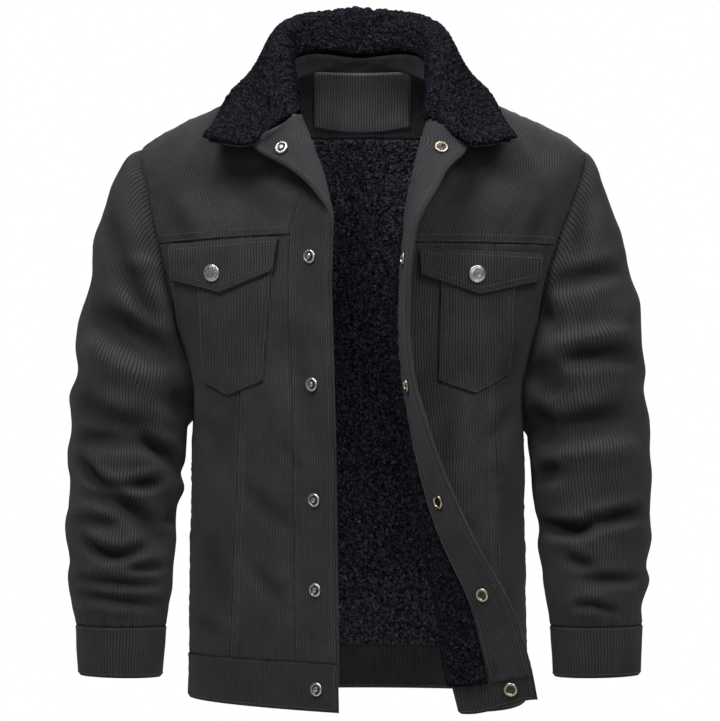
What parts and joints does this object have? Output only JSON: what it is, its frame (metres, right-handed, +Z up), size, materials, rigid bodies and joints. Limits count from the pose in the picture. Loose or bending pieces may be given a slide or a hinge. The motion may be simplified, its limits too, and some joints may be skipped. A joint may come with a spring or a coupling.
{
  "type": "sherpa lined jacket",
  "caption": "Corduroy trucker jacket worn open, with deep pile collar and lining, flapped chest pockets and a snap front.",
  "frame": {"origin": "between the shoulders, midway across, in the plane of the shoulder seams, 50 mm below the middle of the back neck seam, where the wearer carries the jacket", "axes": "+Z up the worn jacket, -Y out of its front, +X towards the wearer's left"},
  "size_m": [0.6322, 0.2972, 0.7561],
  "materials": {
    "corduroy": "charcoal fine-wale cotton corduroy, matte, soft pile ribs",
    "sherpa": "near-black curly sherpa fleece, deep pile, matte",
    "patch": "dark plain woven label cloth, blank, matte",
    "nickel": "nickel plated snap, satin polished"
  },
  "bodies": {
    "root": {"back_panel": "corduroy", "front_yoke_right": "corduroy", "front_yoke_left": "corduroy", "front_centre_right": "corduroy", "front_centre_left": "corduroy", "front_side_right": "corduroy", "front_side_left": "corduroy", "placket_right": "corduroy", "placket_left": "corduroy", "facing_right": "corduroy", "facing_left": "corduroy", "back_neck_facing": "corduroy", "under_collar": "corduroy", "pocket_right": "corduroy", "pocket_left": "corduroy", "pocket_flap_right": "corduroy", "pocket_flap_left": "corduroy", "waistband_right": "corduroy", "waistband_back": "corduroy", "waistband_left": "corduroy", "sleeve_right": "corduroy", "sleeve_left": "corduroy", "cuff_right": "corduroy", "cuff_left": "corduroy", "lining_back": "sherpa", "lining_right": "sherpa", "lining_left": "sherpa", "collar": "sherpa", "neck_patch": "patch", "stud_right_1": "nickel", "stud_right_2": "nickel", "stud_right_3": "nickel", "stud_right_4": "nickel", "stud_right_5": "nickel", "stud_right_6": "nickel", "socket_left_1": "nickel", "socket_left_2": "nickel", "socket_left_3": "nickel", "socket_left_4": "nickel", "socket_left_5": "nickel", "socket_left_6": "nickel", "snap_cap_left_1": "nickel", "snap_cap_left_2": "nickel", "snap_cap_left_3": "nickel", "snap_cap_left_4": "nickel", "snap_cap_left_5": "nickel", "snap_cap_left_6": "nickel", "flap_cap_right": "nickel", "flap_cap_left": "nickel"}
  },
  "joints": []
}
